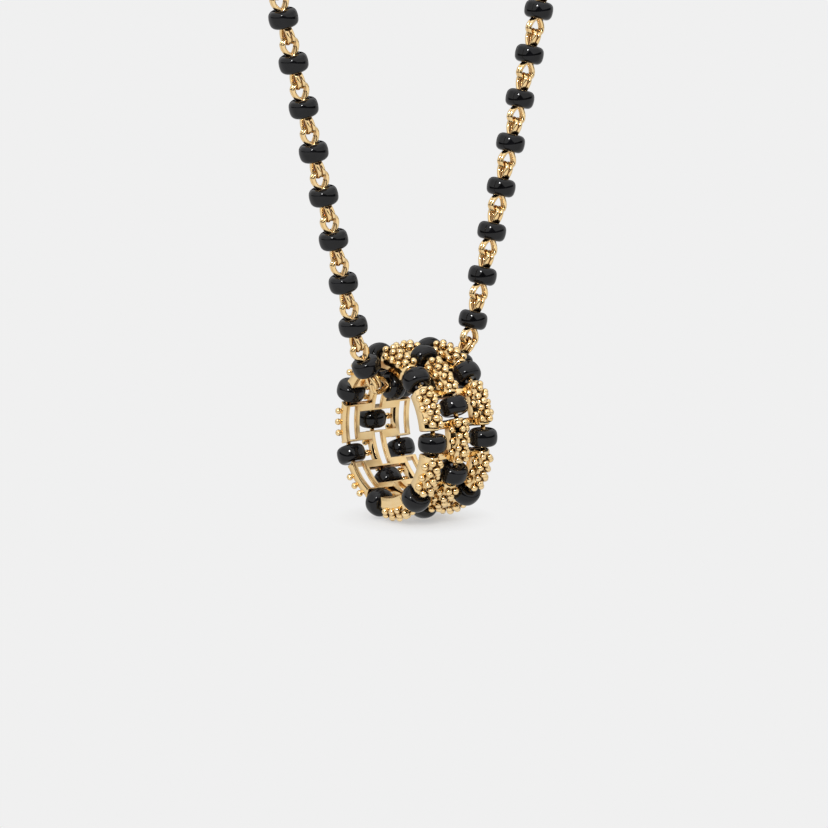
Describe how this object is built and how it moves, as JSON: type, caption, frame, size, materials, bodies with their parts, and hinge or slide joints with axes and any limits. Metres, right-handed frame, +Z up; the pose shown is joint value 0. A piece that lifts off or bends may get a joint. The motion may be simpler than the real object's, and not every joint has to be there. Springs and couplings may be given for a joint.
{
  "type": "mangalsutra necklace",
  "caption": "Mangalsutra: a closed chain of black beads and gold eye loops, threaded through a short gold ring pendant set with black beads.",
  "frame": {"origin": "the top of the loop, in the middle of the chain, where it rests on the nape of the neck", "axes": "+Z up, the loop lies in the XZ plane, +X to the wearer's left as seen from the front, -Y towards the viewer in front"},
  "size_m": [0.0882, 0.018, 0.2054],
  "materials": {
    "gold": "polished yellow gold, a little pink, bright on the granules and darker in the recesses",
    "black_bead": "glossy black polished stone"
  },
  "bodies": {
    "chain": {"chain_links": "gold", "chain_beads": "black_bead", "clasp": "gold"},
    "pendant": {"pendant_frame": "gold", "bead_left_1": "black_bead", "bead_left_2": "black_bead", "bead_left_3": "black_bead", "bead_left_4": "black_bead", "bead_left_5": "black_bead", "bead_left_6": "black_bead", "bead_left_7": "black_bead", "bead_middle_1": "black_bead", "bead_middle_2": "black_bead", "bead_middle_3": "black_bead", "bead_middle_4": "black_bead", "bead_middle_5": "black_bead", "bead_middle_6": "black_bead", "bead_middle_7": "black_bead", "bead_right_1": "black_bead", "bead_right_2": "black_bead", "bead_right_3": "black_bead", "bead_right_4": "black_bead", "bead_right_5": "black_bead", "bead_right_6": "black_bead", "bead_right_7": "black_bead"}
  },
  "joints": [
    {"name": "pendant_swing", "type": "hinge", "parent": "chain", "child": "pendant", "pos_m": [0, 0, -0.18924], "axis": [1, 0, 0], "range_deg": [-20, 20]}
  ]
}
